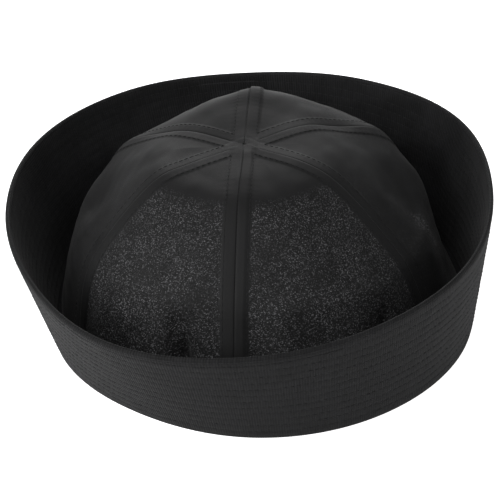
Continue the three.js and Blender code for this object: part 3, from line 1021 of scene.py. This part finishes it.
# Pitch, length and thickness of the stitches in mm, and how far they stand above the cloth
CROWN_STITCH = (2.6, 2.1, 0.3)
CROWN_STITCH_LIFT = 0.07
crown_stitches = stitch_piece("crown_stitches", seam_stitches(), *CROWN_STITCH, dull_thread)


# %% [markdown]
# ## The brim's stitches
# Twelve rows run all round the brim, and one more closes the band at the rim. They show on both sides
# of the wall, so each row is made twice, near the bottom of its groove.

# %% Stitches of the brim
BRIM_STITCH = (2.9, 2.3, 0.32)
BRIM_STITCH_LIFT = 0.06
ROW_WAVE, ROW_WAVE_SIZE, ROW_SEED = 0.04, 9.0, 40


def brim_stitches(outside):
    degrees = np.arange(360)
    _, fold, along, inwards, length = brim_frame(degrees)
    away = -inwards if outside else inwards
    start = fold if outside else fold + inwards * BRIM_CLOTH
    lift = BRIM_STITCH_LIFT if outside else 0.0
    lines = []
    heights = [FIRST_ROW + row * ROW_PITCH + 0 * length for row in range(ROWS)]
    for row, height in enumerate([*heights, length - BAND_AT]):
        place = start + along * height[:, None]
        wave = ROW_WAVE * ripples(place, ROW_WAVE_SIZE, ROW_SEED + row)
        sunk = wave - (BAND_GROOVE if row == ROWS else GROOVE_DEPTH)
        lines.append((place + away * (lift + sunk)[:, None], away, True))
    return lines


outer_stitches = stitch_piece("brim_stitches_outside", brim_stitches(True), *BRIM_STITCH, thread)
inner_stitches = stitch_piece("brim_stitches_inside", brim_stitches(False), *BRIM_STITCH, dull_thread)

# %% [markdown]
# ## The floor
# The cap stands on plain white paper. Lighting such paper until it is white would flood black cloth with
# light from below. So the floor glows by itself: fully for the camera, and much less for the cap, which
# the Light Path node's camera ray output tells apart.

# %% Floor
# How much the floor glows for the cap, where 1 is how white it looks
FLOOR_BOUNCE = 0.28
FLOOR_REACH = 6.0
PAPER = (0.86, 0.86, 0.87, 1.0)
WHITE = (1.0, 1.0, 1.0)


def pale_paper(start):
    bounce = [FLOOR_BOUNCE] * 3
    return {
        "Base Color": PAPER,
        "Roughness": 0.85,
        "Specular IOR Level": 0.2,
        "Emission Color": mix(start, start.node("ShaderNodeLightPath"), bounce, WHITE),
        "Emission Strength": 1.0,
    }


def make_floor():
    mesh = bpy.data.meshes.new("floor")
    signs = ((-1, -1), (1, -1), (1, 1), (-1, 1))
    mesh.from_pydata([(x * FLOOR_REACH, y * FLOOR_REACH, 0) for x, y in signs], [], [(0, 1, 2, 3)])
    mesh.materials.append(add_material("pale_floor", pale_paper))
    floor = add_object("floor", mesh)
    print("floor", 2 * FLOOR_REACH, "m wide")
    return floor


make_floor()

# %% [markdown]
# ## The light
# Black cloth shows its folds by its sheen, so what counts is where the soft light comes from. Six square
# soft boxes stand round the cap, 1.5 m away: the strongest to the front left, weaker ones to the right
# and behind, and low ones that reach the brim's outside. The sky is white for the camera, as the floor
# is, but nearly dark for the cap, because light from everywhere would make the cloth flat and grey.

# %% Lights
# Name, azimuth and elevation in degrees, and strength in watts of each soft light
LIGHTS = [
    ("front_left", -135, 35, 13.0),
    ("front_left_high", -135, 70, 7.0),
    ("front_right_high", -45, 50, 3.4),
    ("left_low", 180, 20, 6.0),
    ("right_low", 0, 20, 3.5),
    ("back_low", 90, 20, 6.3),
]
LIGHT_DISTANCE, LIGHT_SIZE, SKY = 1.5, 0.8, 0.03


def make_light(name, azimuth, elevation, watts):
    data = bpy.data.lights.new(name, "AREA")
    data.shape = "SQUARE"
    data.size = LIGHT_SIZE
    data.energy = watts
    light = add_object(name, data)
    a, e = math.radians(azimuth), math.radians(elevation)
    place = Vector((math.cos(a) * math.cos(e), math.sin(a) * math.cos(e), math.sin(e))) * LIGHT_DISTANCE
    light.location = place
    light.rotation_mode = "QUATERNION"
    light.rotation_quaternion = (-place).to_track_quat("-Z", "Y")
    print("light", name, watts, "W at", azimuth, elevation)
    return light


def make_world(strength):
    world = bpy.data.worlds.new("sky")
    world.use_nodes = True
    start = Shade(world.node_tree, None)
    shown = start.node("ShaderNodeLightPath") * (1.0 - strength) + strength
    start.fill(world.node_tree.nodes["Background"], {"Color": (*WHITE, 1.0), "Strength": shown})
    bpy.context.scene.world = world
    print("sky", strength, "for the cap and 1.0 for the camera")


make_world(SKY)
for light in LIGHTS:
    make_light(*light)
bpy.context.scene.view_settings.view_transform = "Standard"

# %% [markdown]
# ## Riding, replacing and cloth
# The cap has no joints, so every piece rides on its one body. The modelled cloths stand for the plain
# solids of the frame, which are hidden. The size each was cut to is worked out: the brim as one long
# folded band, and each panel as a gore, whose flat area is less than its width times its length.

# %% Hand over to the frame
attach(brim, "root")
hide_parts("brim")
flat = (round_length * MM, (wall_length.mean() + 6 * FOLD) * MM)
for number, (piece, width, length, area) in crown_panels.items():
    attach(piece, "root")
    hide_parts(f"crown_panel_{number}")
    extra = [crown_stitches] if number == 1 else []
    cut = (width * MM, length * MM)
    area * MM * MM
threads = ((crown_stitches, "crown_cloth"), (outer_stitches, "brim_cloth"), (inner_stitches, "brim_cloth"))
for piece, slot in threads:
    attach(piece, "root")
print("handed over", len(crown_panels) + 1, "cloths and", len(threads), "sets of stitches")
